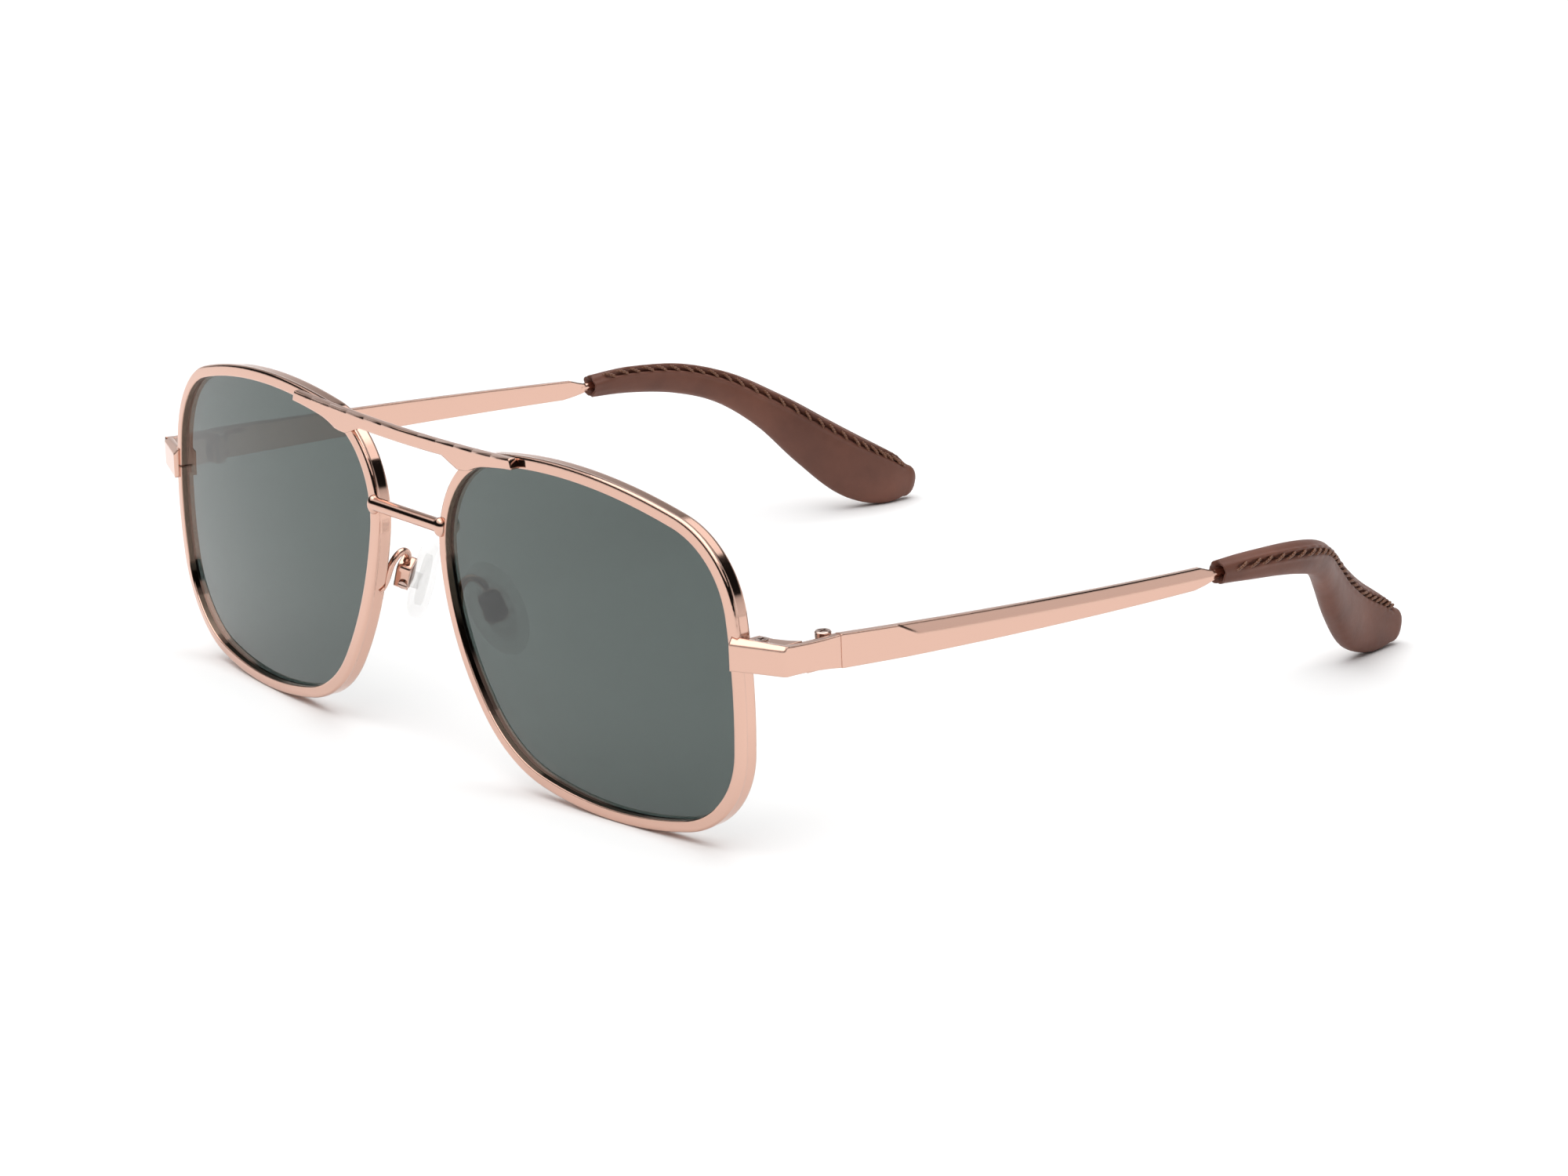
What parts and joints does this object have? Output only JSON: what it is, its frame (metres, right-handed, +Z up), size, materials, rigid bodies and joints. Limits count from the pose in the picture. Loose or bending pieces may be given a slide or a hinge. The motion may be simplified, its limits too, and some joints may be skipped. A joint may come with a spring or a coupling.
{
  "type": "sunglasses",
  "caption": "Folding metal aviator sunglasses with tinted lenses, soft nose pads and stitched leather temple tips.",
  "frame": {"origin": "on the table below the middle of the open glasses", "axes": "+X to the wearer's left, -Y to the front, +Z up; the mirror plane is x = 0"},
  "size_m": [0.1476, 0.1305, 0.0467],
  "materials": {
    "frame_metal": "polished rose-gold plating over nickel alloy",
    "screw_metal": "turned, bright",
    "lens_glass": "grey-green tint, polished",
    "leather": "satin brown calf",
    "tip_core": "moulded",
    "thread": "waxed brown thread",
    "silicone": "clear silicone, smooth",
    "pad_core": "clear moulded core"
  },
  "bodies": {
    "front": {"brow_bar": "frame_metal", "bridge": "frame_metal", "rim_left": "frame_metal", "lens_left": "lens_glass", "end_piece_left": "frame_metal", "closing_block_upper_left": "frame_metal", "closing_block_lower_left": "frame_metal", "closing_screw_left": "screw_metal", "hinge_front_left": "frame_metal", "hinge_screw_left": "screw_metal", "pad_arm_left": "frame_metal", "pad_holder_left": "frame_metal", "pad_screw_left": "screw_metal", "rim_right": "frame_metal", "lens_right": "lens_glass", "end_piece_right": "frame_metal", "closing_block_upper_right": "frame_metal", "closing_block_lower_right": "frame_metal", "closing_screw_right": "screw_metal", "hinge_front_right": "frame_metal", "hinge_screw_right": "screw_metal", "pad_arm_right": "frame_metal", "pad_holder_right": "frame_metal", "pad_screw_right": "screw_metal"},
    "temple_left": {"temple_left": "frame_metal", "hinge_temple_left": "frame_metal", "tip_leather_left": "leather", "tip_filler_left": "tip_core", "tip_stitching_left": "thread"},
    "temple_right": {"temple_right": "frame_metal", "hinge_temple_right": "frame_metal", "tip_leather_right": "leather", "tip_filler_right": "tip_core", "tip_stitching_right": "thread"},
    "nose_pad_left": {"nose_pad_left": "silicone", "pad_insert_left": "pad_core"},
    "nose_pad_right": {"nose_pad_right": "silicone", "pad_insert_right": "pad_core"}
  },
  "joints": [
    {"name": "temple_fold_left", "type": "hinge", "parent": "front", "child": "temple_left", "pos_m": [0.0705, -0.0491, 0.0265], "axis": [0, 0, 1], "range_deg": [0, 81]},
    {"name": "temple_fold_right", "type": "hinge", "parent": "front", "child": "temple_right", "pos_m": [-0.0705, -0.0491, 0.0265], "axis": [0, 0, -1], "range_deg": [0, 86]},
    {"name": "pad_rock_left", "type": "hinge", "parent": "front", "child": "nose_pad_left", "pos_m": [0.01133, -0.05748, 0.0212], "axis": [0.4921, 0.7771, 0.3924], "range_deg": [-8, 8]},
    {"name": "pad_rock_right", "type": "hinge", "parent": "front", "child": "nose_pad_right", "pos_m": [-0.01133, -0.05748, 0.0212], "axis": [0.4921, -0.7771, -0.3924], "range_deg": [-8, 8]}
  ]
}
